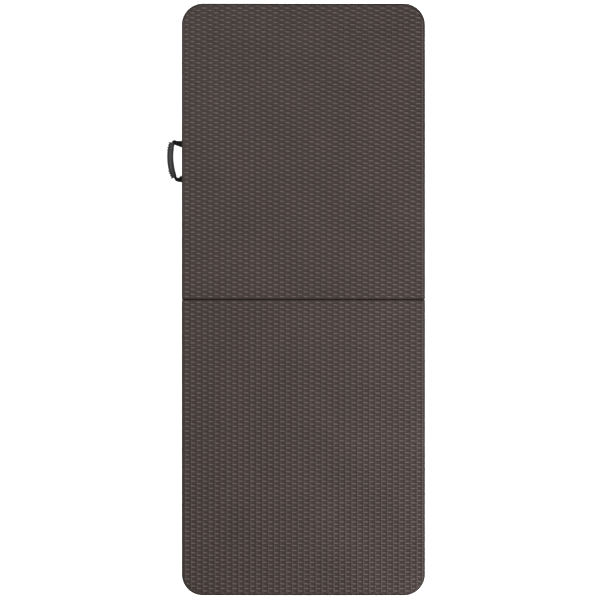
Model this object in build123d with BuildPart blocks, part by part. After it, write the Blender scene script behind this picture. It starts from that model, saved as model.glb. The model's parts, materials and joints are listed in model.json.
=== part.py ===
from build123d import *
import os
from math import atan2, degrees, hypot

os.makedirs("parts", exist_ok=True)

# Bi-fold table with a hollow moulded top, shown opened flat with both leg frames folded into the
# recess under the top. Millimetres. The origin is on the top surface, at the middle of the fold
# line. +Z is up, +Y runs towards the half with the carry handle, and the handle is on the -X side.
# Parts are drawn on the +Y half (half A); half B is its mirror image about the fold line.

# Table top
table_length = 1800
table_width = 740
slab_height = 45
fold_gap = 2
corner_radius = 65
fold_edge_radius = 1.5
fold_bead_radius = 1.6
fold_bead_z_a = -7
fold_bead_z_b = -12
top_edge_radius = 4
rim_edge_radius = 3
wall = 2.8
recess_depth = 30
recess_half_width = 350
recess_near = 26
recess_far = 874
recess_corner_radius = 40
recess_draft = 5.7
floor_z = recess_depth - slab_height
floor_clearance = 0.2

# Double-pivot centre hinge
hinge_y = 11
hinge_z = -35
hinge_edge_radius = 10
rivet_radius = 3
rivet_head_radius = 5.5
rivet_head_height = 1.8
link_radius = 9
link_width = 16.4
link_plate = 2.5
running_clearance = 0.05
loose_clearance = 0.1

# Side rails, steel channels open downwards
rail_x = 332
rail_width = 20
rail_height = 28
rail_gauge = 1.5
rail_near = 2
rail_far = 830
rail_top = floor_z - floor_clearance
rail_end_radius = 8
rail_screw_ys = (60, 300, 540, 740)
notch_half_width = 14.5

# Leg frames
leg_pivot_y = 790
leg_z = -31
pivot_tube_radius = 9.5
pivot_tube_half_length = 344.5
leg_x = 298
leg_radius = 11
tube_gauge = 1.2
table_height = 740
leg_reach = table_height + leg_z
foot_cap_radius = 13
foot_cap_length = 30
foot_cap_base = 3
foot_cap_round = 2
crossbar_radius = 7.5
crossbar_z = -35.5
brace_bar_reach = 330
clip_bar_reach = 600

# Folding braces
brace_z = -22.5
brace_height = 8
web_offset = 10.2
bracket_reach = 400
brace_pin_radius = 2.5
brace_pin_head_radius = 4
foot_pin_head_radius = 3.6
brace_pin_head_height = 1.5
upper_bar_inner = 10.5
upper_bar_gauge = 3
lower_link_width = 10
lug_gauge = 2.5
lug_inner = lower_link_width / 2 + 0.5
bracket_gauge = 1.8
bracket_ear_inner = 14.2
bracket_ear_gauge = 2.5
bracket_ear_length = 32
bracket_plate_width = 80
bracket_plate_length = 26
bracket_corner_radius = 5

# Screws
screw_radius = 2
screw_hole_radius = 2.2
screw_head_radius = 4
screw_head_height = 2.2
screw_head_round = 0.9
pilot_radius = 2.1
boss_radius = 7
screw_top_z = -7
bracket_screw_x = 30
bracket_screw_y = 371
clip_x = 100

# Turn latches in the end wall, and their keepers on the other half
latch_x = 200
latch_z = -31
latch_thickness = 6
latch_radius = 6
latch_back_y = 892
latch_pocket_y = 891
latch_pocket_top = -19
latch_pin_radius = 3
latch_pin_head_radius = 5
latch_pin_recess = 0.4
latch_pin_depth = 18
latch_pin_hole_depth = 10
latch_end_margin = 4
fold_plane_z = -slab_height - fold_gap / 2
keeper_distance = 2 * (latch_z - fold_plane_z)
latch_length = keeper_distance + latch_end_margin
latch_pocket_width = latch_length + 4 * latch_radius - 2

# Carry handle
strap_ys = (474, 367)
strap_width = 20
strap_thickness = 1.6
strap_tail_length = 18
strap_notch_margin = 2
strap_core_overhang = 5
strap_pilot_depth = 15
strap_screw_shank = 11
strap_screw_head_height = 1.8
strap_z = -42.2
strap_hinge_x = -371.2
strap_notch_top = -41
strap_screw_x = -360
grip_radius = 9.9
grip_bore = 4.4
strap_core_radius = 4
grip_z = -34.8
grip_ends = ((-400, 478), (-393, 371))
grip_middle = (-405.8, 432)

# Where the folded brace links meet. The links lie in line when the leg is out, and one over the
# other when it is folded, so their sum and difference are the two distances from the bracket
# pivot to the pivot on the leg frame.
bracket_y = leg_pivot_y - bracket_reach
lug_y = leg_pivot_y - brace_bar_reach
lug_rise = brace_z - leg_z
out_run = bracket_reach - lug_rise
out_drop = brace_bar_reach + brace_z - leg_z
folded_span = lug_y - bracket_y
out_span = hypot(out_run, out_drop)
upper_link_length = (out_span + folded_span) / 2
knee_y = bracket_y + upper_link_length


def finish(piece, name):
    """Name a piece and write it as a STEP file."""
    piece.part.label = name
    export_step(piece.part, f"parts/{name}.step")


def mirrored(piece, plane):
    """A piece's mirror image about a plane."""
    with BuildPart() as image:
        mirror(piece.part, about=plane)
    return image


def half_outline(inset, height):
    """Plan outline of half A: large corners at the outer end, square ones at the fold."""
    near = fold_gap / 2 + inset
    far = table_length / 2 - inset
    with BuildSketch(Plane.XY.offset(height)) as outline:
        with Locations((0, (near + far) / 2)):
            Rectangle(table_width - 2 * inset, far - near)
        fillet(outline.vertices().group_by(Axis.Y)[-1], corner_radius - inset)
    return outline.sketch


def fold_edge_waste(radius):
    """What is cut away below the fold face, leaving a round of this radius about the hinge pivot."""
    with BuildPart() as waste:
        with BuildSketch(Plane.YZ):
            with Locations((hinge_y, hinge_z)):
                Rectangle(2 * hinge_edge_radius, 2 * hinge_edge_radius, align=(Align.MAX, Align.MAX))
                Circle(radius, mode=Mode.SUBTRACT)
        extrude(amount=table_width / 2 + 1, both=True)
    return waste.part


def under_space(clear):
    """Recess under half A, its rail notches and latch pockets, grown by a clearance."""
    roof = recess_depth + clear
    notch_length = recess_near + corner_radius
    pocket_depth = table_length / 2 - latch_pocket_y + clear
    pocket_height = latch_pocket_top + slab_height + clear
    pocket_x = latch_x + latch_length / 2 - 1
    with BuildPart() as space:
        with BuildSketch(Plane.XY.offset(-slab_height)):
            with Locations((0, (recess_near + recess_far) / 2)):
                RectangleRounded(
                    2 * (recess_half_width + clear),
                    recess_far - recess_near + 2 * clear,
                    recess_corner_radius,
                )
        extrude(amount=roof, taper=recess_draft)
        with Locations((-rail_x, 0, -slab_height), (rail_x, 0, -slab_height)):
            Box(
                2 * (notch_half_width + clear),
                notch_length,
                roof,
                align=(Align.CENTER, Align.MIN, Align.MIN),
            )
        with Locations(*[(side * pocket_x, table_length / 2, -slab_height) for side in (-1, 1)]):
            Box(
                latch_pocket_width + 2 * clear,
                pocket_depth,
                pocket_height,
                align=(Align.CENTER, Align.MAX, Align.MIN),
            )
    return space.part


def fold_bead(side, height):
    """Half-round bead along the fold face of half A (side 1) or half B (side -1)."""
    with BuildPart() as bead:
        with Locations((0, side * fold_gap / 2, height)):
            Cylinder(fold_bead_radius, table_width - 2 * fold_edge_radius, rotation=(0, 90, 0))
    return bead.part


# Table top halves. Each is one hollow shell: the cavity is the outline less a wall, cut back
# around the recess, the screw bosses and the cones that tie the underside to the top skin. The
# beads of the two fold faces pass one over the other, which closes the fold gap seen from above.
boss_places = [(x, y) for x in (-rail_x, rail_x) for y in rail_screw_ys]
boss_places += [(x, bracket_screw_y) for x in (-bracket_screw_x, bracket_screw_x)]
boss_places += [(x, leg_pivot_y - clip_bar_reach) for x in (-clip_x, clip_x)]
cone_mouth_radius = 10
cone_tip_radius = 4
cone_pitch_x = 160
cone_pitch_y = 165
cone_rows = 5
cone_columns = 4
half_middle_y = table_length / 4
vent_y = 640
vent_radius = 5

with BuildPart() as half_cavity:
    extrude(half_outline(wall, -wall), amount=2 * wall - slab_height)
    add(fold_edge_waste(hinge_edge_radius - wall), mode=Mode.SUBTRACT)
    add(under_space(wall), mode=Mode.SUBTRACT)
    with Locations(*[(x, y, floor_z) for x, y in boss_places]):
        Cylinder(
            boss_radius,
            recess_depth,
            align=(Align.CENTER, Align.CENTER, Align.MIN),
            mode=Mode.SUBTRACT,
        )
    with Locations((0, half_middle_y, floor_z)):
        with GridLocations(cone_pitch_x, cone_pitch_y, cone_columns, cone_rows):
            Cone(
                cone_mouth_radius + wall,
                cone_tip_radius + wall,
                -floor_z,
                align=(Align.CENTER, Align.CENTER, Align.MIN),
                mode=Mode.SUBTRACT,
            )
    with BuildSketch(Plane.XZ.offset(-table_length / 2)):
        with Locations((-latch_x, latch_z), (latch_x, latch_z)):
            Circle(boss_radius)
    extrude(amount=table_length / 2 - recess_far, mode=Mode.SUBTRACT)
    with Locations(*[(strap_screw_x, y, -slab_height) for y in strap_ys]):
        Box(
            table_width / 2 - recess_half_width,
            strap_width + 2 * strap_notch_margin + 2 * wall,
            slab_height / 2,
            align=(Align.CENTER, Align.CENTER, Align.MIN),
            mode=Mode.SUBTRACT,
        )

with BuildPart() as half_body:
    extrude(half_outline(0, 0), amount=-slab_height)
    fillet(half_body.faces().sort_by(Axis.Z)[-1].edges().sort_by(Axis.Y)[1:], top_edge_radius)
    fillet(half_body.faces().sort_by(Axis.Z)[0].edges().sort_by(Axis.Y)[1:], rim_edge_radius)
    fillet(half_body.faces().sort_by(Axis.Y)[0].edges(), fold_edge_radius)
    add(fold_edge_waste(hinge_edge_radius), mode=Mode.SUBTRACT)
    add(under_space(0), mode=Mode.SUBTRACT)
    add(half_cavity.part, mode=Mode.SUBTRACT)
    with Locations((0, half_middle_y, floor_z)):
        with GridLocations(cone_pitch_x, cone_pitch_y, cone_columns, cone_rows):
            Cone(
                cone_mouth_radius,
                cone_tip_radius,
                -floor_z - 2 * wall,
                align=(Align.CENTER, Align.CENTER, Align.MIN),
                mode=Mode.SUBTRACT,
            )
    with Locations(*[(x, y, floor_z) for x, y in boss_places]):
        Cylinder(
            pilot_radius,
            -floor_z - 2 * wall,
            align=(Align.CENTER, Align.CENTER, Align.MIN),
            mode=Mode.SUBTRACT,
        )
    with Locations((0, vent_y, floor_z)):
        Cylinder(vent_radius, 2 * wall, mode=Mode.SUBTRACT)
    with BuildSketch(Plane.XZ.offset(-latch_pocket_y)):
        with Locations((-latch_x, latch_z), (latch_x, latch_z)):
            Circle(latch_pin_radius + running_clearance)
    extrude(amount=latch_pin_hole_depth, mode=Mode.SUBTRACT)

with BuildPart() as table_top_a:
    add(half_body.part)
    add(fold_bead(1, fold_bead_z_a))
    with Locations(*[(strap_screw_x, y, -slab_height) for y in strap_ys]):
        Box(
            table_width / 2 - recess_half_width + 2 * strap_notch_margin,
            strap_width + 2 * strap_notch_margin,
            strap_notch_top + slab_height,
            align=(Align.CENTER, Align.CENTER, Align.MIN),
            mode=Mode.SUBTRACT,
        )
        Cylinder(
            pilot_radius,
            strap_pilot_depth,
            align=(Align.CENTER, Align.CENTER, Align.MIN),
            mode=Mode.SUBTRACT,
        )
finish(table_top_a, "table_top_a")

with BuildPart() as table_top_b:
    add(mirrored(half_body, Plane.XZ).part)
    add(fold_bead(-1, fold_bead_z_b))
finish(table_top_b, "table_top_b")


# Side rails: a channel whose web lies on the recess floor, with the hinge pivot at the fold end
# and the leg pivot near the outer end.
with BuildPart() as rail_a_right:
    with Locations((rail_x, rail_near, rail_top)):
        Box(
            rail_width,
            rail_far - rail_near,
            rail_height,
            align=(Align.CENTER, Align.MIN, Align.MAX),
        )
    with Locations((rail_x, rail_near, rail_top - rail_gauge)):
        Box(
            rail_width - 2 * rail_gauge,
            rail_far - rail_near,
            rail_height,
            align=(Align.CENTER, Align.MIN, Align.MAX),
            mode=Mode.SUBTRACT,
        )
    fold_end = rail_a_right.edges().filter_by(Axis.X).group_by(Axis.Y)[0]
    fillet(fold_end.group_by(Axis.Z)[0], rail_end_radius)
    with BuildSketch(Plane.YZ.offset(rail_x)):
        with Locations((hinge_y, hinge_z)):
            Circle(rivet_radius + running_clearance)
        with Locations((leg_pivot_y, leg_z)):
            Circle(pivot_tube_radius + running_clearance)
    extrude(amount=rail_width, both=True, mode=Mode.SUBTRACT)
    with Locations(*[(rail_x, y, rail_top) for y in rail_screw_ys]):
        Cylinder(screw_hole_radius, 3 * rail_gauge, mode=Mode.SUBTRACT)
finish(rail_a_right, "rail_a_right")

rail_a_left = mirrored(rail_a_right, Plane.YZ)
finish(rail_a_left, "rail_a_left")
finish(mirrored(rail_a_right, Plane.XZ), "rail_b_right")
finish(mirrored(rail_a_left, Plane.XZ), "rail_b_left")


def screws(places, head_top):
    """Pan-head screws driven upwards, heads below, at places in plan."""
    with BuildPart() as group:
        with Locations(*[(x, y, head_top) for x, y in places]):
            Cylinder(
                screw_head_radius,
                screw_head_height,
                align=(Align.CENTER, Align.CENTER, Align.MAX),
            )
            Cylinder(
                screw_radius,
                screw_top_z - head_top,
                align=(Align.CENTER, Align.CENTER, Align.MIN),
            )
        fillet(group.faces().group_by(Axis.Z)[0].edges(), screw_head_round)
    return group


rail_screws_a = screws(
    [(x, y) for x in (-rail_x, rail_x) for y in rail_screw_ys],
    rail_top - rail_gauge - running_clearance,
)
finish(rail_screws_a, "rail_screws_a")
finish(mirrored(rail_screws_a, Plane.XZ), "rail_screws_b")


# Centre hinge: a U-shaped link in each pair of rails, with its web above the two pivots.
with BuildPart() as hinge_link_right:
    with BuildSketch(Plane.YZ.offset(rail_x)):
        with Locations((0, hinge_z)):
            SlotCenterToCenter(2 * hinge_y, 2 * link_radius)
    extrude(amount=link_width / 2, both=True)
    with Locations((rail_x, 0, hinge_z + link_radius - link_plate)):
        Box(
            link_width - 2 * link_plate,
            4 * link_radius + 2 * hinge_y,
            3 * link_radius,
            align=(Align.CENTER, Align.CENTER, Align.MAX),
            mode=Mode.SUBTRACT,
        )
    with BuildSketch(Plane.YZ.offset(rail_x)):
        with Locations((-hinge_y, hinge_z), (hinge_y, hinge_z)):
            Circle(rivet_radius + running_clearance)
    extrude(amount=link_width, both=True, mode=Mode.SUBTRACT)
finish(hinge_link_right, "hinge_link_right")
finish(mirrored(hinge_link_right, Plane.YZ), "hinge_link_left")


def cross_pins(centre_xs, y, z, shank_radius, half_length, head_radius, head_height):
    """Headed pins along X, one about each centre."""
    with BuildPart() as group:
        for centre_x in centre_xs:
            with BuildSketch(Plane.YZ.offset(centre_x)):
                with Locations((y, z)):
                    Circle(shank_radius)
            extrude(amount=half_length, both=True)
            for side in (-1, 1):
                with BuildSketch(Plane.YZ.offset(centre_x + side * half_length)):
                    with Locations((y, z)):
                        Circle(head_radius)
                extrude(amount=side * head_height)
        fillet(
            group.edges().filter_by(GeomType.CIRCLE).filter_by(lambda e: e.radius == head_radius),
            head_height / 3,
        )
    return group


hinge_rivets_a = cross_pins(
    (-rail_x, rail_x),
    hinge_y,
    hinge_z,
    rivet_radius,
    rail_width / 2 + running_clearance,
    rivet_head_radius,
    rivet_head_height,
)
finish(hinge_rivets_a, "hinge_rivets_a")
finish(mirrored(hinge_rivets_a, Plane.XZ), "hinge_rivets_b")


# Leg frame: a pivot tube across the table, two legs and two crossbars, welded, with a pair of
# lugs on the first crossbar for the brace. The bores run into each other, as in welded tube.
with BuildPart() as leg_frame_a:
    with BuildSketch(Plane.YZ):
        with Locations((leg_pivot_y, leg_z)):
            Circle(pivot_tube_radius)
    extrude(amount=pivot_tube_half_length, both=True)
    with BuildSketch(Plane.XZ.offset(-leg_pivot_y)):
        with Locations((-leg_x, leg_z), (leg_x, leg_z)):
            Circle(leg_radius)
    extrude(amount=leg_reach - foot_cap_base)
    with BuildSketch(Plane.YZ):
        with Locations((lug_y, crossbar_z), (leg_pivot_y - clip_bar_reach, crossbar_z)):
            Circle(crossbar_radius)
    extrude(amount=leg_x, both=True)
    for side in (-1, 1):
        with BuildSketch(Plane.YZ.offset(side * lug_inner)):
            with Locations((lug_y, (crossbar_z + brace_z) / 2)):
                SlotCenterToCenter(brace_z - crossbar_z, brace_height, rotation=90)
        extrude(amount=side * lug_gauge)
    with BuildSketch(Plane.YZ):
        with Locations((leg_pivot_y, leg_z)):
            Circle(pivot_tube_radius - tube_gauge)
    extrude(amount=pivot_tube_half_length, both=True, mode=Mode.SUBTRACT)
    with BuildSketch(Plane.XZ.offset(-leg_pivot_y + pivot_tube_radius + leg_radius / 4)):
        with Locations((-leg_x, leg_z), (leg_x, leg_z)):
            Circle(leg_radius - tube_gauge)
    extrude(amount=leg_reach, mode=Mode.SUBTRACT)
    with BuildSketch(Plane.YZ):
        with Locations((lug_y, crossbar_z), (leg_pivot_y - clip_bar_reach, crossbar_z)):
            Circle(crossbar_radius - tube_gauge)
    extrude(amount=leg_x - leg_radius / 2, both=True, mode=Mode.SUBTRACT)
    with BuildSketch(Plane.YZ):
        with Locations((lug_y, brace_z)):
            Circle(brace_pin_radius + running_clearance)
    extrude(amount=lug_inner + 2 * lug_gauge, both=True, mode=Mode.SUBTRACT)
finish(leg_frame_a, "leg_frame_a")
finish(mirrored(leg_frame_a, Plane.XZ), "leg_frame_b")

# Plugs in the ends of the pivot tube
plug_head = 1.5
plug_length = 12
with BuildPart() as pivot_plugs_a:
    for side in (-1, 1):
        with BuildSketch(Plane.YZ.offset(side * (pivot_tube_half_length - plug_length))):
            with Locations((leg_pivot_y, leg_z)):
                Circle(pivot_tube_radius - tube_gauge - running_clearance)
        extrude(amount=side * plug_length)
        with BuildSketch(Plane.YZ.offset(side * (pivot_tube_half_length + running_clearance))):
            with Locations((leg_pivot_y, leg_z)):
                Circle(pivot_tube_radius)
        extrude(amount=side * plug_head)
        with BuildSketch(Plane.YZ.offset(side * (pivot_tube_half_length - loose_clearance))):
            with Locations((leg_pivot_y, leg_z)):
                Circle(pivot_tube_radius - tube_gauge - running_clearance)
        extrude(amount=side * plug_head)
finish(pivot_plugs_a, "pivot_plugs_a")
finish(mirrored(pivot_plugs_a, Plane.XZ), "pivot_plugs_b")

# Foot caps, cups over the ends of the legs
with BuildPart() as foot_caps_a:
    with BuildSketch(Plane.XZ.offset(leg_reach - leg_pivot_y)):
        with Locations((-leg_x, leg_z), (leg_x, leg_z)):
            Circle(foot_cap_radius)
    extrude(amount=-foot_cap_length)
    fillet(foot_caps_a.edges().group_by(Axis.Y)[0], foot_cap_round)
    with BuildSketch(Plane.XZ.offset(leg_reach - leg_pivot_y - foot_cap_base + running_clearance)):
        with Locations((-leg_x, leg_z), (leg_x, leg_z)):
            Circle(leg_radius + running_clearance)
    extrude(amount=-foot_cap_length, mode=Mode.SUBTRACT)
finish(foot_caps_a, "foot_caps_a")
finish(mirrored(foot_caps_a, Plane.XZ), "foot_caps_b")


# Brace bracket: a plate screwed to the recess floor with two ears for the brace pin
bracket_top = floor_z - floor_clearance
ear_depth = bracket_top - brace_z + brace_height / 2
with BuildPart() as brace_bracket_a:
    with Locations((0, bracket_screw_y, bracket_top)):
        Box(
            bracket_plate_width,
            bracket_plate_length,
            bracket_gauge,
            align=(Align.CENTER, Align.CENTER, Align.MAX),
        )
    fillet(brace_bracket_a.edges().filter_by(Axis.Z), bracket_corner_radius)
    for side in (-1, 1):
        with BuildSketch(Plane.YZ.offset(side * bracket_ear_inner)):
            with Locations((bracket_y + brace_height / 2, bracket_top)):
                Rectangle(bracket_ear_length, ear_depth, align=(Align.MAX, Align.MAX))
        extrude(amount=side * bracket_ear_gauge)
    ear_corners = brace_bracket_a.edges().filter_by(Axis.X).group_by(Axis.Z)[0]
    fillet(ear_corners, brace_height / 2 - loose_clearance)
    with BuildSketch(Plane.YZ):
        with Locations((bracket_y, brace_z)):
            Circle(brace_pin_radius + running_clearance)
    extrude(amount=2 * bracket_ear_inner, both=True, mode=Mode.SUBTRACT)
    with Locations(*[(side * bracket_screw_x, bracket_screw_y, bracket_top) for side in (-1, 1)]):
        Cylinder(screw_hole_radius, 3 * bracket_gauge, mode=Mode.SUBTRACT)
finish(brace_bracket_a, "brace_bracket_a")
finish(mirrored(brace_bracket_a, Plane.XZ), "brace_bracket_b")

bracket_screws_a = screws(
    [(x, bracket_screw_y) for x in (-bracket_screw_x, bracket_screw_x)],
    bracket_top - bracket_gauge - running_clearance,
)
finish(bracket_screws_a, "bracket_screws_a")
finish(mirrored(bracket_screws_a, Plane.XZ), "bracket_screws_b")

brace_pin_a = cross_pins(
    (0,),
    bracket_y,
    brace_z,
    brace_pin_radius,
    bracket_ear_inner + bracket_ear_gauge + running_clearance,
    brace_pin_head_radius,
    brace_pin_head_height,
)
finish(brace_pin_a, "brace_pin_a")
finish(mirrored(brace_pin_a, Plane.XZ), "brace_pin_b")


def link_profile(x, start_y, end_y):
    """Side view of a brace link: a bar with round ends between two pivots."""
    with BuildSketch(Plane.YZ.offset(x)) as profile:
        with Locations(((start_y + end_y) / 2, brace_z)):
            SlotCenterToCenter(end_y - start_y, brace_height)
        with Locations((start_y, brace_z), (end_y, brace_z)):
            Circle(brace_pin_radius + running_clearance, mode=Mode.SUBTRACT)
    return profile.sketch


# Upper brace link: a fork of two bars, joined by a web next to the bracket
web_start = bracket_y + web_offset
web_length = 45
web_gauge = 2
with BuildPart() as brace_upper_a:
    for side in (-1, 1):
        extrude(
            link_profile(side * upper_bar_inner, bracket_y, knee_y),
            amount=upper_bar_gauge,
            dir=(side, 0, 0),
        )
    with Locations((0, web_start, brace_z + brace_height / 2)):
        Box(
            2 * upper_bar_inner + upper_bar_gauge,
            web_length,
            web_gauge,
            align=(Align.CENTER, Align.MIN, Align.MAX),
        )
finish(brace_upper_a, "brace_upper_a")
finish(mirrored(brace_upper_a, Plane.XZ), "brace_upper_b")

# Lower brace link: one bar between the lugs and the knee, inside the fork
with BuildPart() as brace_lower_a:
    extrude(
        link_profile(-lower_link_width / 2, lug_y, knee_y), amount=lower_link_width, dir=(1, 0, 0)
    )
finish(brace_lower_a, "brace_lower_a")
finish(mirrored(brace_lower_a, Plane.XZ), "brace_lower_b")

# Knee rivets: one in each bar of the fork, with a shoulder that stops short of the lower link
knee_shoulder_radius = 3.8
knee_head = 1.5
with BuildPart() as knee_rivets_a:
    for side in (-1, 1):
        with BuildSketch(Plane.YZ.offset(side * lug_inner)):
            with Locations((knee_y, brace_z)):
                Circle(brace_pin_radius)
        extrude(amount=side * (upper_bar_inner + upper_bar_gauge - lug_inner + knee_head))
        with BuildSketch(Plane.YZ.offset(side * lug_inner)):
            with Locations((knee_y, brace_z)):
                Circle(knee_shoulder_radius)
        extrude(amount=side * (upper_bar_inner - lug_inner - loose_clearance))
        with BuildSketch(Plane.YZ.offset(side * (upper_bar_inner + upper_bar_gauge + running_clearance))):
            with Locations((knee_y, brace_z)):
                Circle(knee_shoulder_radius)
        extrude(amount=side * knee_head)
finish(knee_rivets_a, "knee_rivets_a")
finish(mirrored(knee_rivets_a, Plane.XZ), "knee_rivets_b")

brace_foot_pin_a = cross_pins(
    (0,),
    lug_y,
    brace_z,
    brace_pin_radius,
    lug_inner + lug_gauge + running_clearance,
    foot_pin_head_radius,
    brace_pin_head_height,
)
finish(brace_foot_pin_a, "brace_foot_pin_a")
finish(mirrored(brace_foot_pin_a, Plane.XZ), "brace_foot_pin_b")


# Leg clips: moulded blocks that the second crossbar snaps into
clip_y = leg_pivot_y - clip_bar_reach
clip_width = 16
clip_depth = 25
clip_clearance = 0.5
clip_wall = 3.5
clip_edge_round = 1.5
clip_head_clearance = 0.3
clip_half_length = crossbar_radius + clip_clearance + clip_wall
clip_top = floor_z - floor_clearance
clip_screw_head_top = crossbar_z + clip_half_length - loose_clearance
with BuildPart() as leg_clips_a:
    with Locations((-clip_x, clip_y, clip_top), (clip_x, clip_y, clip_top)):
        Box(
            clip_width,
            2 * clip_half_length,
            clip_depth,
            align=(Align.CENTER, Align.CENTER, Align.MAX),
        )
    fillet(leg_clips_a.edges().filter_by(Axis.X).group_by(Axis.Z)[0], clip_edge_round)
    with BuildSketch(Plane.YZ):
        with Locations((clip_y, crossbar_z)):
            Circle(crossbar_radius + clip_clearance)
            Rectangle(
                2 * (crossbar_radius + clip_clearance), clip_depth, align=(Align.CENTER, Align.MAX)
            )
    extrude(amount=clip_x + clip_width, both=True, mode=Mode.SUBTRACT)
    with Locations((-clip_x, clip_y, clip_screw_head_top), (clip_x, clip_y, clip_screw_head_top)):
        Cylinder(
            screw_head_radius + clip_head_clearance,
            clip_depth,
            align=(Align.CENTER, Align.CENTER, Align.MAX),
            mode=Mode.SUBTRACT,
        )
        Cylinder(screw_hole_radius, clip_depth, mode=Mode.SUBTRACT)
finish(leg_clips_a, "leg_clips_a")
finish(mirrored(leg_clips_a, Plane.XZ), "leg_clips_b")

clip_screws_a = screws([(-clip_x, clip_y), (clip_x, clip_y)], clip_screw_head_top - running_clearance)
finish(clip_screws_a, "clip_screws_a")
finish(mirrored(clip_screws_a, Plane.XZ), "clip_screws_b")


# Turn latches: a lever in each end pocket, with a hook slot that closes over the keeper stud
hook_clearance = 0.3
hook_radius = latch_pin_radius + hook_clearance
latch_front_y = latch_back_y + latch_thickness
with BuildPart() as latch_right:
    with BuildSketch(Plane.XZ.offset(-latch_front_y)):
        with Locations((latch_x + latch_length / 2, latch_z)):
            SlotCenterToCenter(latch_length, 2 * latch_radius)
        with Locations((latch_x, latch_z)):
            Circle(latch_pin_radius + running_clearance, mode=Mode.SUBTRACT)
        with Locations((latch_x + keeper_distance, latch_z)):
            Circle(hook_radius, mode=Mode.SUBTRACT)
            Rectangle(
                2 * hook_radius,
                2 * latch_radius,
                align=(Align.CENTER, Align.MAX),
                mode=Mode.SUBTRACT,
            )
    extrude(amount=latch_thickness)
finish(latch_right, "latch_right")
finish(mirrored(latch_right, Plane.YZ), "latch_left")

with BuildPart() as latch_pins:
    with BuildSketch(Plane.XZ.offset(latch_pin_recess - table_length / 2)):
        with Locations((-latch_x, latch_z), (latch_x, latch_z)):
            Circle(latch_pin_head_radius)
    extrude(amount=table_length / 2 - latch_pin_recess - latch_front_y - loose_clearance)
    with BuildSketch(Plane.XZ.offset(latch_pin_recess - table_length / 2)):
        with Locations((-latch_x, latch_z), (latch_x, latch_z)):
            Circle(latch_pin_radius)
    extrude(amount=latch_pin_depth)
finish(latch_pins, "latch_pins")
finish(mirrored(latch_pins, Plane.XZ), "latch_keepers")


# Carry handle: webbing whose two ends are screwed under the rim, with a moulded grip on its
# middle. The tails are the fixed ends; the loop turns about the rim's lower edge.
with BuildPart() as strap_tails:
    for y in strap_ys:
        with Locations((-table_width / 2 - floor_clearance, y, strap_z)):
            Box(
                strap_tail_length,
                strap_width,
                strap_thickness,
                align=(Align.MIN, Align.CENTER, Align.CENTER),
            )
        with Locations((strap_screw_x, y, strap_z)):
            Cylinder(screw_hole_radius, 3 * strap_thickness, mode=Mode.SUBTRACT)
finish(strap_tails, "strap_tails")

with BuildPart() as strap_screws:
    head_z = strap_z - strap_thickness / 2 - running_clearance
    with Locations(*[(strap_screw_x, y, head_z) for y in strap_ys]):
        Cylinder(
            screw_head_radius,
            strap_screw_head_height,
            align=(Align.CENTER, Align.CENTER, Align.MAX),
        )
        Cylinder(
            screw_radius,
            strap_screw_shank,
            align=(Align.CENTER, Align.CENTER, Align.MIN),
        )
finish(strap_screws, "strap_screws")

with BuildPart() as carry_grip:
    with BuildLine(Plane.XY.offset(grip_z)) as grip_line:
        ThreePointArc(grip_ends[0], grip_middle, grip_ends[1])
    with BuildSketch(Plane(grip_line.line @ 0, z_dir=grip_line.line % 0)):
        Circle(grip_radius)
        Circle(grip_bore, mode=Mode.SUBTRACT)
    sweep()
finish(carry_grip, "carry_grip")


# Outline of one end of the loop: how far it starts from the rim's edge, where its two sides
# begin to gather (as shares of the way to the grip), and the corners of its gathered end.
tab_start = 1.5
tab_outer_share = 0.6
tab_inner_share = 0.5
tab_outer_flare = 2
tab_inner_draw = 3
tab_end_half = 4
tab_end_tip = 7
tab_end_back = 1.5
tab_end_front = 2.5


def strap_tab(y, end, turn):
    """Flat webbing from the rim's edge out to one end of the grip, which it enters sideways."""
    reach = strap_hinge_x - end[0]
    rise = grip_z - strap_z
    slope = atan2(rise, reach)
    away = turn * strap_width / 2
    hinge_line = Plane((strap_hinge_x, y, strap_z)).rotated((0, degrees(slope), 0))
    end_y = end[1] - y
    with BuildPart() as tab:
        with BuildSketch(hinge_line):
            with BuildLine():
                Polyline(
                    (-tab_start, -away),
                    (-tab_start, away),
                    (-tab_outer_share * reach, away + turn * tab_outer_flare),
                    (-reach - tab_end_half, end_y + turn * tab_end_tip),
                    (-reach - tab_end_half, end_y + turn * tab_end_back),
                    (-reach + tab_end_half, end_y + turn * tab_end_front),
                    (-tab_inner_share * reach, end_y - turn * tab_inner_draw),
                    close=True,
                )
            make_face()
        extrude(amount=strap_thickness / 2, both=True)
    return tab.part


with BuildPart() as carry_strap:
    with BuildLine(Plane.XY.offset(grip_z)) as core_line:
        whole = ThreePointArc(grip_ends[0], grip_middle, grip_ends[1])
        Line(whole @ 0, whole @ 0 - (whole % 0) * strap_core_overhang)
        Line(whole @ 1, whole @ 1 + (whole % 1) * strap_core_overhang)
    core_wire = core_line.wire()
    with BuildSketch(Plane(core_wire @ 0, z_dir=core_wire % 0)):
        Circle(strap_core_radius)
    sweep(path=core_wire)
    add(strap_tab(strap_ys[0], grip_ends[0], 1))
    add(strap_tab(strap_ys[1], grip_ends[1], -1))
finish(carry_strap, "carry_strap")
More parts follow.
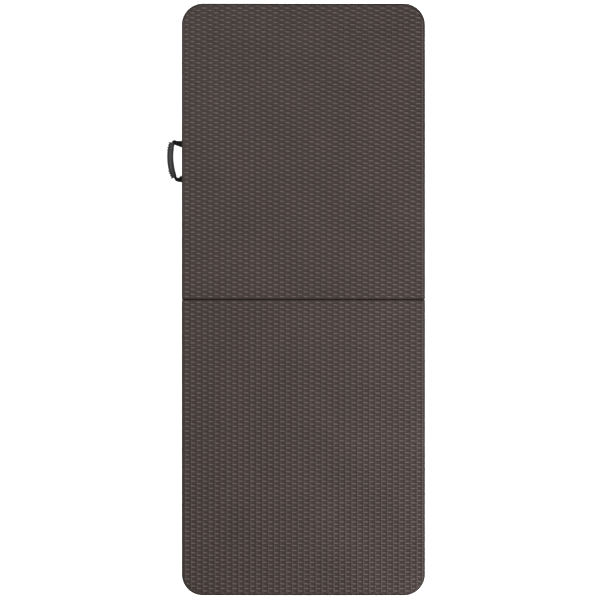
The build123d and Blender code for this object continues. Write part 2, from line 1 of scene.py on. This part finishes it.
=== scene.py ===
import bpy
import json
import numpy as np
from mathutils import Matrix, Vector


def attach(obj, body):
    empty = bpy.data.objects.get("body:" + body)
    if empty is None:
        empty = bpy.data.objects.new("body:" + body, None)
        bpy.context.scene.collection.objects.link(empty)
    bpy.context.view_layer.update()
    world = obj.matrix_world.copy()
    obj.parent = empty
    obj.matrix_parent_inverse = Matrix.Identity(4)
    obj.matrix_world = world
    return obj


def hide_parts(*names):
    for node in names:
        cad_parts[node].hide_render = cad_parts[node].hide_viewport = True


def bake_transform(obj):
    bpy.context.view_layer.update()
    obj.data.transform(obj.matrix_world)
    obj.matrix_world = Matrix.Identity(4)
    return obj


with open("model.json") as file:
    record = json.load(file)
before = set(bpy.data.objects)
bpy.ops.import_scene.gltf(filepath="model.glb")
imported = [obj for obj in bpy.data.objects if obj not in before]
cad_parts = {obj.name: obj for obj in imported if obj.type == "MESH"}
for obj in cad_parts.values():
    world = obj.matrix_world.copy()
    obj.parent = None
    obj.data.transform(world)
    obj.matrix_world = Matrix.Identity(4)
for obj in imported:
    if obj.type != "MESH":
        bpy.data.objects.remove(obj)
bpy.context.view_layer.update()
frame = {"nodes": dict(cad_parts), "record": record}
nodes = frame["nodes"]

# Bi-fold table with a woven-look top, a ribbed carry grip and a webbing strap. Lengths in
# millimetres up to where a mesh is made; lights and camera in metres.
MM = 0.001

# ---------------------------------------------------------------- table top
TABLE_HALF_WIDTH = 370.0
TABLE_HALF_LENGTH = 900.0
CORNER_RADIUS = 65.0
FOLD_EDGE = 1.0

# the woven skin's edge, measured in from the table's edge and from the fold
SKIN_INSET = 4.2
FOLD_INSET = 1.6
SKIN_SINK = 0.6
SKIN_LIFT = 0.05
FADE_WIDTH = 2.6
TOUCHING = 1e-6

# the weave: strands run across the table's width and pass over every other stake
COLUMN_PITCH = 18.05
FIRST_COLUMN = -354.5
COLUMNS = 40
ROW_PITCH = 7.25
FIRST_ROW = 8.8
ROWS = 125
STRAND_HEIGHT = 1.8
# shares of a column or row pitch, and levels as shares of the strand height
STRAND_CURVE = 1.96
DASH_REACH = 0.55
DASH_RISE = 0.34
BORDER_RISE = 0.1
UNDER_LEVEL = 0.16
STAKE_OFFSET = -0.31
STAKE_HALF_WIDTH = 0.1
STAKE_HEIGHT = 0.6
# grid lines in every cell, closer together where the surface bends
COLUMN_STOPS = (-0.5, -0.41, -0.36, -0.31, -0.26, -0.2, -0.05, 0.12, 0.28, 0.4)
ROW_STOPS = (-0.5, -0.4, -0.14, 0.14, 0.4)
NARROWEST_CELL = 0.4

# ---------------------------------------------------------------- carry handle
GRIP_Z = -34.8
GRIP_ENDS = ((-400.0, 478.0), (-393.0, 371.0))
GRIP_MIDDLE = (-405.8, 432.0)
GRIP_RADIUS = 9.9
GRIP_END_SHARE = 0.84
GRIP_SWELL_RATE = 1.6
GRIP_BORE = 4.6
GRIP_END_ROUND = 1.5
RIB_HEIGHT = 2.8
RIB_PITCH = 7.4
RIBS_PER_END = 4
RIB_START = 0.02
RIB_END = 0.52
RIB_FLANK = 0.08
# how far the ribs reach round the grip: full on its outer side, none towards the table
RIB_WRAP = 1.4
RIB_OVERLAP = 0.35

STRAP_UPPER_Y = 474.0
STRAP_LOWER_Y = 367.0
STRAP_Z = -42.2
STRAP_WIDTH = 20.0
STRAP_THICKNESS = 1.6
STRAP_BUNCH = (6.6, 5.0)
BUNCH_TWIST = 0.5
CORD_PITCH = 2.5
CORD_HEIGHT = 0.07
# the webbing's section is round up to this width for its thickness, and grows squarer beyond it
ROUND_RATIO = 1.5
SQUARING_RANGE = 8.0
SQUARENESS = 0.55

# ---------------------------------------------------------------- colours
# each pair is the darker and the lighter tone of one finish
WOVEN_BROWNS = ((0.0196, 0.0129, 0.0115), (0.0245, 0.0163, 0.0146))
# the plain browns are a darker copy of the woven browns: painted shade on the rim, walls and underside
PLAIN_PAINTED_SHADE_BROWNS = ((0.0105, 0.007, 0.0063), (0.0138, 0.0093, 0.0085))
COATED_STEEL = ((0.026, 0.022, 0.02), (0.034, 0.029, 0.026))
ZINC = ((0.42, 0.42, 0.41), (0.62, 0.62, 0.6))
BLACK = ((0.012, 0.012, 0.013), (0.026, 0.026, 0.027))
RUBBER = ((0.0038, 0.0038, 0.004), (0.0072, 0.0072, 0.0076))
WEBBING = ((0.0018, 0.0018, 0.002), (0.006, 0.006, 0.0066))
CLOTH_RIB_ANGLES = (0.9, -0.9)
CLOTH_RIB_SCALE = 330.0
FLOOR = ((0.9, 0.9, 0.9), (0.93, 0.93, 0.93))

# painted shade in the hollows of the weave and a painted highlight on its crests, set by height, and the
# height where the painted highlight begins
HOLLOW_PAINTED_SHADE = 0.66
CREST_PAINTED_HIGHLIGHT = 1.66
CREST_START = 1.1
WOVEN_SPECULAR = 0.16
PLAIN_SPECULAR = 0.1

# ---------------------------------------------------------------- studio
DOME_HORIZON = 0.45
DOME_ZENITH = 1.15
BACKDROP = 1.0
# the table is shown clear of the floor, so that a half or a leg frame can swing down above it
FLOOR_Z = -0.98
FLOOR_REACH = 30.0
CAMERA_HEIGHT = 14.0
CAMERA_FAR = 60.0
SENSOR = 36.0
VIEW_WIDTH = 1.8237
VIEW_SHIFT = (-0.0057, -0.00083)

# sockets of a Mix node, by number: its float pair and its colour pair
MIX_FLOATS = (2, 3)
MIX_COLOURS = (6, 7)
MIX_COLOUR_RESULT = 2


# ---------------------------------------------------------------- materials
class Nodes:
    """Builds one material's node tree."""

    def __init__(self, name):
        self.material = bpy.data.materials.new(name)
        self.material.use_nodes = True
        self.tree = self.material.node_tree
        self.bsdf = self.tree.nodes["Principled BSDF"]

    def add(self, kind, **settings):
        node = self.tree.nodes.new(kind)
        for key, value in settings.items():
            setattr(node, key, value)
        return node

    def join(self, source, target):
        self.tree.links.new(source, target)

    def feed(self, source, name):
        """Drive one input of the surface shader from a socket."""
        self.join(source, self.bsdf.inputs[name])

    def fix(self, name, value):
        """Set one input of the surface shader to a constant."""
        self.bsdf.inputs[name].default_value = value

    def coords(self):
        return self.add("ShaderNodeTexCoord").outputs["Object"]

    def noise(self, scale, detail):
        node = self.add("ShaderNodeTexNoise")
        node.inputs["Scale"].default_value = scale
        node.inputs["Detail"].default_value = detail
        self.join(self.coords(), node.inputs["Vector"])
        return node.outputs["Fac"]

    def ramp(self, source, low, high, start=0.3, end=0.7):
        """Map start..end of a socket to low..high, clamped at both."""
        node = self.add("ShaderNodeMapRange")
        ranges = {"From Min": start, "From Max": end, "To Min": low, "To Max": high}
        for key, value in ranges.items():
            node.inputs[key].default_value = value
        self.join(source, node.inputs["Value"])
        return node.outputs["Result"]

    def mix(self, share, colours):
        """Blend two colours by a socket."""
        node = self.add("ShaderNodeMix", data_type="RGBA")
        for index, colour in zip(MIX_COLOURS, colours):
            node.inputs[index].default_value = (*colour, 1.0)
        self.join(share, node.inputs[0])
        return node.outputs[MIX_COLOUR_RESULT]

    def multiply(self, first, second):
        """Product of a socket and another socket or a number."""
        node = self.add("ShaderNodeMath", operation="MULTIPLY")
        self.join(first, node.inputs[0])
        if isinstance(second, float):
            node.inputs[1].default_value = second
        else:
            self.join(second, node.inputs[1])
        return node.outputs[0]

    def brighten(self, colour, factor):
        """A colour socket scaled by a value socket."""
        node = self.add("ShaderNodeVectorMath", operation="SCALE")
        self.join(colour, node.inputs[0])
        self.join(factor, node.inputs["Scale"])
        return node.outputs[0]

    def bump(self, height, strength, distance):
        node = self.add("ShaderNodeBump")
        node.inputs["Strength"].default_value = strength
        node.inputs["Distance"].default_value = distance
        self.join(height, node.inputs["Height"])
        self.feed(node.outputs["Normal"], "Normal")


def plastic_surface(n, colours, speckle_and_painted_shade, roughness):
    """What both faces of the moulded top share: patchy brown, fine speckle, faint grain; on the woven face
    the brightness factor also carries painted shade and a painted highlight.
    """
    patches = n.ramp(n.noise(scale=6.0, detail=4.0), low=0.0, high=1.0)
    n.feed(n.brighten(n.mix(patches, colours), speckle_and_painted_shade), "Base Color")
    wear = n.ramp(n.noise(scale=60.0, detail=3.0), low=roughness - 0.06, high=roughness + 0.08)
    n.feed(wear, "Roughness")
    n.bump(n.noise(scale=1600.0, detail=2.0), strength=0.35, distance=0.12 * MM)


def speckle(n):
    return n.ramp(n.noise(scale=420.0, detail=2.0), low=0.86, high=1.12, start=0.25, end=0.75)


def woven_plastic(name):
    """The moulded weave, with painted shade (darker, duller) in its hollows and a painted highlight on the
    crests of the strands.
    """
    n = Nodes(name)
    place = n.add("ShaderNodeSeparateXYZ")
    n.join(n.coords(), place.inputs[0])
    # painted shade and highlight by height: it scales both the brown and the specular level
    painted_shade_and_highlight = n.ramp(
        place.outputs["Z"],
        low=HOLLOW_PAINTED_SHADE,
        high=CREST_PAINTED_HIGHLIGHT,
        start=CREST_START * MM,
        end=STRAND_HEIGHT * MM,
    )
    n.feed(n.multiply(painted_shade_and_highlight, WOVEN_SPECULAR), "Specular IOR Level")
    plastic_surface(n, WOVEN_BROWNS, n.multiply(speckle(n), painted_shade_and_highlight), roughness=0.42)
    return n.material


def plain_plastic(name):
    """The smooth rim, walls and underside of the moulding, in a darker brown and with a lower specular level
    than the woven top: painted shade, as the moulding is one brown throughout.
    """
    n = Nodes(name)
    n.fix("Specular IOR Level", PLAIN_SPECULAR)
    plastic_surface(n, PLAIN_PAINTED_SHADE_BROWNS, speckle(n), roughness=0.6)
    return n.material


def powder_coat(name):
    n = Nodes(name)
    mottle = n.ramp(n.noise(scale=35.0, detail=3.0), low=0.0, high=1.0)
    n.feed(n.mix(mottle, COATED_STEEL), "Base Color")
    n.feed(n.ramp(n.noise(scale=300.0, detail=2.0), low=0.38, high=0.55), "Roughness")
    n.bump(n.noise(scale=1100.0, detail=1.0), strength=0.5, distance=0.15 * MM)
    return n.material


def zinc_plate(name):
    n = Nodes(name)
    n.fix("Metallic", 1.0)
    mottle = n.ramp(n.noise(scale=180.0, detail=3.0), low=0.0, high=1.0, start=0.35, end=0.65)
    n.feed(n.mix(mottle, ZINC), "Base Color")
    n.feed(n.ramp(n.noise(scale=500.0, detail=2.0), low=0.28, high=0.45), "Roughness")
    n.bump(n.noise(scale=900.0, detail=2.0), strength=0.25, distance=0.08 * MM)
    return n.material


def black_plastic(name):
    n = Nodes(name)
    n.feed(n.mix(n.noise(scale=90.0, detail=3.0), BLACK), "Base Color")
    n.feed(n.ramp(n.noise(scale=240.0, detail=2.0), low=0.4, high=0.56), "Roughness")
    n.bump(n.noise(scale=1400.0, detail=1.0), strength=0.3, distance=0.1 * MM)
    return n.material


def grip_rubber(name):
    n = Nodes(name)
    n.feed(n.mix(n.noise(scale=120.0, detail=4.0), RUBBER), "Base Color")
    n.feed(n.ramp(n.noise(scale=260.0, detail=2.0), low=0.4, high=0.5), "Roughness")
    n.fix("Specular IOR Level", 0.22)
    n.bump(n.noise(scale=1500.0, detail=1.0), strength=0.25, distance=0.1 * MM)
    return n.material


def strap_webbing(name):
    """Woven cloth: two sets of fine ribs that cross each other."""
    n = Nodes(name)
    ribs = []
    for angle in CLOTH_RIB_ANGLES:
        turn = n.add("ShaderNodeMapping")
        turn.inputs["Rotation"].default_value = (0.0, 0.0, angle)
        n.join(n.coords(), turn.inputs["Vector"])
        wave = n.add("ShaderNodeTexWave", wave_type="BANDS", bands_direction="X")
        wave.inputs["Scale"].default_value = CLOTH_RIB_SCALE
        n.join(turn.outputs["Vector"], wave.inputs["Vector"])
        ribs.append(wave.outputs["Fac"])
    weave = n.multiply(*ribs)
    n.feed(n.mix(weave, WEBBING), "Base Color")
    n.feed(n.ramp(n.noise(scale=400.0, detail=2.0), low=0.7, high=0.85, start=0.0, end=1.0), "Roughness")
    n.fix("Sheen Weight", 0.04)
    n.fix("Specular IOR Level", 0.12)
    n.bump(weave, strength=0.6, distance=0.3 * MM)
    return n.material


def matt_white(name):
    n = Nodes(name)
    n.feed(n.mix(n.noise(scale=3.0, detail=2.0), FLOOR), "Base Color")
    n.fix("Roughness", 0.9)
    return n.material


WOVEN_TOP = woven_plastic("top_moulding_woven")
SLOT_MATERIALS = {
    "top_moulding": plain_plastic("top_moulding_plain"),
    "coated_steel": powder_coat("coated_steel"),
    "zinc_steel": zinc_plate("zinc_steel"),
    "black_plastic": black_plastic("black_plastic"),
    "grip_rubber": grip_rubber("grip_rubber"),
    "webbing": strap_webbing("webbing"),
}


# ---------------------------------------------------------------- mesh helpers
def new_piece(name, vertices, faces, material):
    """A smooth-shaded mesh object from millimetre vertices."""
    mesh = bpy.data.meshes.new(name)
    mesh.from_pydata([tuple(v) for v in np.asarray(vertices) * MM], [], faces)
    mesh.polygons.foreach_set("use_smooth", np.ones(len(mesh.polygons), bool))
    mesh.materials.append(material)
    mesh.update()
    obj = bpy.data.objects.new(name, mesh)
    bpy.context.scene.collection.objects.link(obj)
    return obj


def smoothstep(share):
    """Ease from 0 to 1, level at both ends."""
    return share * share * (3 - 2 * share)


def tube_faces(rings, around, closed):
    """Faces between successive rings of points; a closed tube joins its last ring to its first."""
    faces = []
    for k in range(rings if closed else rings - 1):
        here, ahead = k * around, (k + 1) % rings * around
        for i in range(around):
            j = (i + 1) % around
            faces.append((ahead + i, ahead + j, here + j, here + i))
    return faces


# ---------------------------------------------------------------- woven top skin
def relief(x, y):
    """Height of the moulded weave at (x, y), y measured from the fold line."""
    column = np.round((x - FIRST_COLUMN) / COLUMN_PITCH)
    row = np.round((y - FIRST_ROW) / ROW_PITCH)
    u = (x - FIRST_COLUMN) / COLUMN_PITCH - column
    v = (y - FIRST_ROW) / ROW_PITCH - row
    over = (column + row) % 2 == 0
    border = column >= COLUMNS
    strand = np.sqrt(np.clip(1 - (STRAND_CURVE * v) ** 2, 0, 1))
    dash = smoothstep(np.clip((DASH_REACH - np.abs(u)) / DASH_RISE, 0, 1))
    dash = np.where(border, np.clip((u + 0.5) / BORDER_RISE, 0, 1), dash)
    lift = np.where(over | border, UNDER_LEVEL + (1 - UNDER_LEVEL) * dash, UNDER_LEVEL)
    across = (u - STAKE_OFFSET) / STAKE_HALF_WIDTH
    stake = STAKE_HEIGHT * np.sqrt(np.clip(1 - across * across, 0, 1))
    return STRAND_HEIGHT * np.maximum(lift * strand, np.where(over, 0.0, stake))


def stops(first, pitch, count, fractions, low, high):
    """Sorted grid lines: the same fractions in every cell, kept between low and high."""
    cells = first + pitch * np.arange(-2, count + 2)
    places = np.sort((cells[:, None] + pitch * np.array(fractions)[None]).ravel())
    inside = places[(places > low + NARROWEST_CELL) & (places < high - NARROWEST_CELL)]
    return np.concatenate(([low], inside, [high]))


def skin_grid(near, far, half, radius):
    """The skin's grid points in plan, its rows drawn in at the rounded outer corners."""
    ys = stops(FIRST_ROW, ROW_PITCH, ROWS, ROW_STOPS, near, far)
    xs = stops(FIRST_COLUMN, COLUMN_PITCH, COLUMNS, COLUMN_STOPS, -half, half)
    into_corner = np.clip(ys - (far - radius), 0, radius)
    widths = half - radius + np.sqrt(radius ** 2 - into_corner ** 2)
    points, index, row_ends = [], np.zeros((len(ys), len(xs)), int), []
    for j, y in enumerate(ys):
        clamped = np.clip(xs, -widths[j], widths[j])
        keep = np.concatenate(([True], np.diff(clamped) > TOUCHING))
        start = len(points)
        index[j] = start + np.cumsum(keep) - 1
        points += [(x, y) for x in clamped[keep]]
        row_ends.append((start, len(points) - 1))
    return np.array(points), index, row_ends


def distance_inside(x, y, near, far, half, radius):
    """How far each point lies inside the skin's outline."""
    past_x = np.abs(x) - (half - radius)
    past_y = y - (far - radius)
    rounded = radius - np.hypot(np.maximum(past_x, 0), np.maximum(past_y, 0))
    straight = np.minimum(half - np.abs(x), far - y)
    in_corner = (past_x > 0) & (past_y > 0)
    return np.minimum(np.where(in_corner, rounded, straight), y - near)


def cell_faces(index):
    """A face for each grid cell, without the corners that fall together at the outline."""
    faces = []
    for j in range(len(index) - 1):
        for i in range(len(index[0]) - 1):
            corners = (index[j, i], index[j, i + 1], index[j + 1, i + 1], index[j + 1, i])
            ring = tuple(dict.fromkeys(int(corner) for corner in corners))
            if len(ring) > 2:
                faces.append(ring)
    return faces


def outline_loop(row_ends):
    """Point numbers round the skin: near row, right side, far row, left side."""
    left = [start for start, _ in row_ends]
    right = [end for _, end in row_ends]
    near_row = list(range(left[0], right[0] + 1))
    far_row = list(range(right[-1] - 1, left[-1] - 1, -1))
    return near_row + right[1:] + far_row + left[-2:0:-1]


def woven_skin(name, side):
    """The moulded weave on one half's top, as a thin closed relief sunk into the flat face."""
    near = FOLD_EDGE + FOLD_INSET
    far = TABLE_HALF_LENGTH - SKIN_INSET
    half = TABLE_HALF_WIDTH - SKIN_INSET
    radius = CORNER_RADIUS - SKIN_INSET
    points, index, row_ends = skin_grid(near, far, half, radius)
    x, y = points[:, 0], points[:, 1]
    inside = distance_inside(x, y, near, far, half, radius)
    fade = smoothstep(np.clip(inside / FADE_WIDTH, 0, 1))
    heights = SKIN_LIFT + relief(x, y) * fade
    heights[inside < TOUCHING] = 0.0
    top = np.column_stack((x, side * y, heights))
    loop = outline_loop(row_ends)
    under = top[loop]
    under[:, 2] = -SKIN_SINK
    base, count = len(top), len(loop)
    walls = [(base + k, base + (k + 1) % count, loop[(k + 1) % count], loop[k]) for k in range(count)]
    underside = tuple(range(base + count - 1, base - 1, -1))
    faces = cell_faces(index) + walls + [underside]
    if side < 0:
        faces = [face[::-1] for face in faces]
    return new_piece(name, np.vstack((top, under)), faces, WOVEN_TOP)


# ---------------------------------------------------------------- carry handle
def circle_through(a, b, c):
    """Centre and radius of the circle through three points in plan."""
    (ax, ay), (bx, by), (cx, cy) = a, b, c
    a_square, b_square, c_square = ax * ax + ay * ay, bx * bx + by * by, cx * cx + cy * cy
    spread = 2 * (ax * (by - cy) + bx * (cy - ay) + cx * (ay - by))
    x = (a_square * (by - cy) + b_square * (cy - ay) + c_square * (ay - by)) / spread
    y = (a_square * (cx - bx) + b_square * (ax - cx) + c_square * (bx - ax)) / spread
    return x, y, np.hypot(ax - x, ay - y)


def grip_axis(count):
    """Evenly spaced points along the grip's curved centre line."""
    x, y, radius = circle_through(GRIP_ENDS[0], GRIP_MIDDLE, GRIP_ENDS[1])
    first, last = (np.arctan2(py - y, px - x) % (2 * np.pi) for px, py in GRIP_ENDS)
    angles = np.linspace(first, last, count)
    return np.column_stack((x + radius * np.cos(angles), y + radius * np.sin(angles), np.full(count, GRIP_Z)))


def frames_along(path):
    """For each point of a path, a level vector square to it and the vector square to both."""
    tangent = np.gradient(path, axis=0)
    tangent /= np.linalg.norm(tangent, axis=1)[:, None]
    side = np.cross(tangent, (0.0, 0.0, 1.0))
    side /= np.linalg.norm(side, axis=1)[:, None]
    return side, np.cross(side, tangent)


def distance_along(path):
    return np.concatenate(([0], np.cumsum(np.linalg.norm(np.diff(path, axis=0), axis=1))))


def rib_profile(from_end):
    """1 on a raised rib near either end of the grip, 0 on its smooth middle."""
    phase = from_end % RIB_PITCH / RIB_PITCH
    edge = np.clip(np.minimum(phase - RIB_START, RIB_END - phase) / RIB_FLANK, 0, 1)
    return np.where(from_end < RIBS_PER_END * RIB_PITCH, edge, 0.0)


def grip():
    """The moulded grip: a slightly swelling tube with raised ribs round its outer side at each end."""
    rings, around = 241, 48
    path = grip_axis(rings)
    distance = distance_along(path)
    length = distance[-1]
    side, up = frames_along(path)
    angles = np.linspace(0, 2 * np.pi, around, endpoint=False)
    outward = np.clip(RIB_WRAP * np.cos(angles) + RIB_OVERLAP, 0, 1)
    middle = 1 - np.abs(2 * distance / length - 1)
    swell = np.sin(np.pi / 2 * np.clip(GRIP_SWELL_RATE * middle, 0, 1))
    radii = GRIP_RADIUS * (GRIP_END_SHARE + (1 - GRIP_END_SHARE) * swell)
    from_end = np.minimum(distance, length - distance)
    short_of_round = 1 - np.clip(from_end / GRIP_END_ROUND, 0, 1)
    round_end = np.sqrt(np.clip(1 - short_of_round ** 2, 0, 1))
    radii = radii - GRIP_END_ROUND * (1 - round_end)
    rib = rib_profile(from_end)
    outer, bore = [], []
    for k in range(rings):
        r = radii[k] + RIB_HEIGHT * rib[k] * outward
        level, upright = np.outer(np.cos(angles), side[k]), np.outer(np.sin(angles), up[k])
        outer.append(path[k] + r[:, None] * (level + upright))
        bore.append(path[k] + GRIP_BORE * (level + upright))
    vertices = np.vstack(outer + bore[::-1])
    faces = tube_faces(2 * rings, around, closed=True)
    return new_piece("grip", vertices, faces, SLOT_MATERIALS["grip_rubber"])


def smooth_path(points, count):
    """Evenly spaced Catmull-Rom curve; width, thickness and twist follow the places."""
    samples_per_span = 40
    p = np.asarray(points, float)
    p = np.vstack((2 * p[0] - p[1], p, 2 * p[-1] - p[-2]))
    t = np.linspace(0, 1, samples_per_span, endpoint=False)[:, None]
    spans = []
    for a, b, c, d in zip(p, p[1:], p[2:], p[3:]):
        bend = (2 * a - 5 * b + 4 * c - d) * t ** 2
        twist = (3 * b - a - 3 * c + d) * t ** 3
        spans.append(0.5 * (2 * b + (c - a) * t + bend + twist))
    dense = np.vstack(spans + [p[-2][None]])
    steps = distance_along(dense[:, :3])
    even = np.linspace(0, steps[-1], count)
    return np.column_stack([np.interp(even, steps, column) for column in dense.T])


def strap_path(count):
    """The webbing from its upper screw, through the grip, to its lower screw.

    Each stop is x, y, z, width, thickness and twist in radians.
    """
    flat = (STRAP_WIDTH, STRAP_THICKNESS, 0.0)
    bunch = (*STRAP_BUNCH, BUNCH_TWIST)
    upper = [(x, STRAP_UPPER_Y, STRAP_Z, *flat) for x in (-353, -362, -371)]
    upper += [
        (-378, 475, STRAP_Z + 1.4, 17.5, 1.9, 0.05),
        (-387, 477, STRAP_Z + 3.6, 14.5, 2.6, 0.15),
        (-395, 479.6, STRAP_Z + 6.0, 12.5, 4, 0.3),
        (-400.3, 474.5, GRIP_Z, *bunch),
    ]
    through = [(*place, *bunch) for place in grip_axis(9)[1:-1]]
    lower = [
        (-392.8, 374.5, GRIP_Z, *bunch),
        (-386.8, 367.0, STRAP_Z + 5.6, 12.5, 4.2, 0.4),
        (-380, 364.6, STRAP_Z + 3.0, 13.5, 3, 0.3),
        (-375, 365.6, STRAP_Z + 1.0, 18, 2, 0.12),
        (-371, STRAP_LOWER_Y, STRAP_Z, 20, 1.7, 0.0),
    ]
    lower += [(x, STRAP_LOWER_Y, STRAP_Z, *flat) for x in (-362, -353)]
    return smooth_path(upper + through + lower, count)


def strap_section(angles, width, thick):
    """Rounded flat section with fine cords, squarer where the webbing lies flat."""
    flatness = np.clip((width / thick - ROUND_RATIO) / SQUARING_RANGE, 0, 1)
    power = 1.0 - SQUARENESS * flatness
    c, s = np.cos(angles), np.sin(angles)
    across = width / 2 * np.sign(c) * np.abs(c) ** power
    cord = CORD_HEIGHT * np.cos(across * 2 * np.pi / CORD_PITCH) * np.sign(s)
    through = thick / 2 * np.sign(s) * np.abs(s) ** power + cord * np.abs(s)
    return across, through


def strap():
    """One length of webbing: flat where it is screwed down, bunched and twisted into the grip."""
    rings, around = 300, 40
    path = strap_path(rings)
    side, up = frames_along(path[:, :3])
    angles = np.linspace(0, 2 * np.pi, around, endpoint=False)
    vertices = []
    for stop, level, upright in zip(path, side, up):
        width, thick, twist = stop[3:]
        across, through = strap_section(angles, width, thick)
        wide = level * np.cos(twist) + upright * np.sin(twist)
        deep = upright * np.cos(twist) - level * np.sin(twist)
        vertices.append(stop[:3] + np.outer(across, wide) + np.outer(through, deep))
    last = (rings - 1) * around
    faces = tube_faces(rings, around, closed=False)
    faces.append(tuple(range(around)))
    faces.append(tuple(range(last, last + around))[::-1])
    return new_piece("webbing_strap", np.vstack(vertices), faces, SLOT_MATERIALS["webbing"])


# ---------------------------------------------------------------- pieces on the frame
for half_name, side in (("a", 1), ("b", -1)):
    skin = woven_skin(f"woven_top_{half_name}", side)
    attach(skin, f"panel_{half_name}")

grip_piece = grip()
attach(grip_piece, "handle")
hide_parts("carry_grip")

strap_piece = strap()
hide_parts("carry_strap", "strap_tails")
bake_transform(strap_piece)

slot_of = {entry["node"]: entry["material_slot"] for entry in frame["record"]["subparts"]}
for name, obj in nodes.items():
    obj.data.materials.clear()
    obj.data.materials.append(SLOT_MATERIALS[slot_of[name]])


# ---------------------------------------------------------------- floor, light and camera
def studio_floor():
    mesh = bpy.data.meshes.new("studio_floor")
    corners = [(-1, -1), (1, -1), (1, 1), (-1, 1)]
    mesh.from_pydata([(x * FLOOR_REACH, y * FLOOR_REACH, FLOOR_Z) for x, y in corners], [], [(0, 1, 2, 3)])
    mesh.materials.append(matt_white("studio_floor"))
    floor = bpy.data.objects.new("studio_floor", mesh)
    bpy.context.scene.collection.objects.link(floor)


def studio_dome():
    """Soft light that grows towards the zenith; the camera itself sees an even white backdrop."""
    world = bpy.data.worlds.new("studio")
    bpy.context.scene.world = world
    world.use_nodes = True
    tree = world.node_tree
    background = tree.nodes["Background"]
    background.inputs["Strength"].default_value = 1.0
    sky = tree.nodes.new("ShaderNodeTexCoord")
    split = tree.nodes.new("ShaderNodeSeparateXYZ")
    dome = tree.nodes.new("ShaderNodeMapRange")
    seen = tree.nodes.new("ShaderNodeLightPath")
    choose = tree.nodes.new("ShaderNodeMix")
    dome_socket, backdrop_socket = (choose.inputs[index] for index in MIX_FLOATS)
    dome.inputs["To Min"].default_value = DOME_HORIZON
    dome.inputs["To Max"].default_value = DOME_ZENITH
    backdrop_socket.default_value = BACKDROP
    tree.links.new(sky.outputs["Generated"], split.inputs[0])
    tree.links.new(split.outputs["Z"], dome.inputs["Value"])
    tree.links.new(seen.outputs["Is Camera Ray"], choose.inputs[0])
    tree.links.new(dome.outputs["Result"], dome_socket)
    tree.links.new(choose.outputs[0], background.inputs["Color"])


def softbox(name, place, target, size, power):
    """A square light that the camera doesn't see; it keeps off the fold, which it would shine into."""
    light = bpy.data.lights.new(name, "AREA")
    light.shape = "SQUARE"
    light.size = size
    light.energy = power
    obj = bpy.data.objects.new(name, light)
    obj.location = place
    obj.rotation_euler = (Vector(target) - Vector(place)).to_track_quat("-Z", "Y").to_euler()
    obj.visible_camera = False
    bpy.context.scene.collection.objects.link(obj)


def plan_camera():
    """A camera high above the table, looking straight down."""
    data = bpy.data.cameras.new("camera")
    data.sensor_width = SENSOR
    data.lens = SENSOR * CAMERA_HEIGHT / VIEW_WIDTH
    data.shift_x, data.shift_y = VIEW_SHIFT
    data.clip_end = CAMERA_FAR
    camera = bpy.data.objects.new("camera", data)
    camera.location = (0.0, 0.0, CAMERA_HEIGHT)
    bpy.context.scene.collection.objects.link(camera)
    bpy.context.scene.camera = camera
    bpy.context.scene.view_settings.view_transform = "Standard"


studio_floor()
studio_dome()
softbox("right", place=(2.0, -1.1, 2.3), target=(0.1, 0.0, 0.0), size=1.4, power=235.0)
softbox("left", place=(-1.2, 1.3, 3.0), target=(0.1, 0.3, 0.0), size=1.4, power=108.0)
plan_camera()
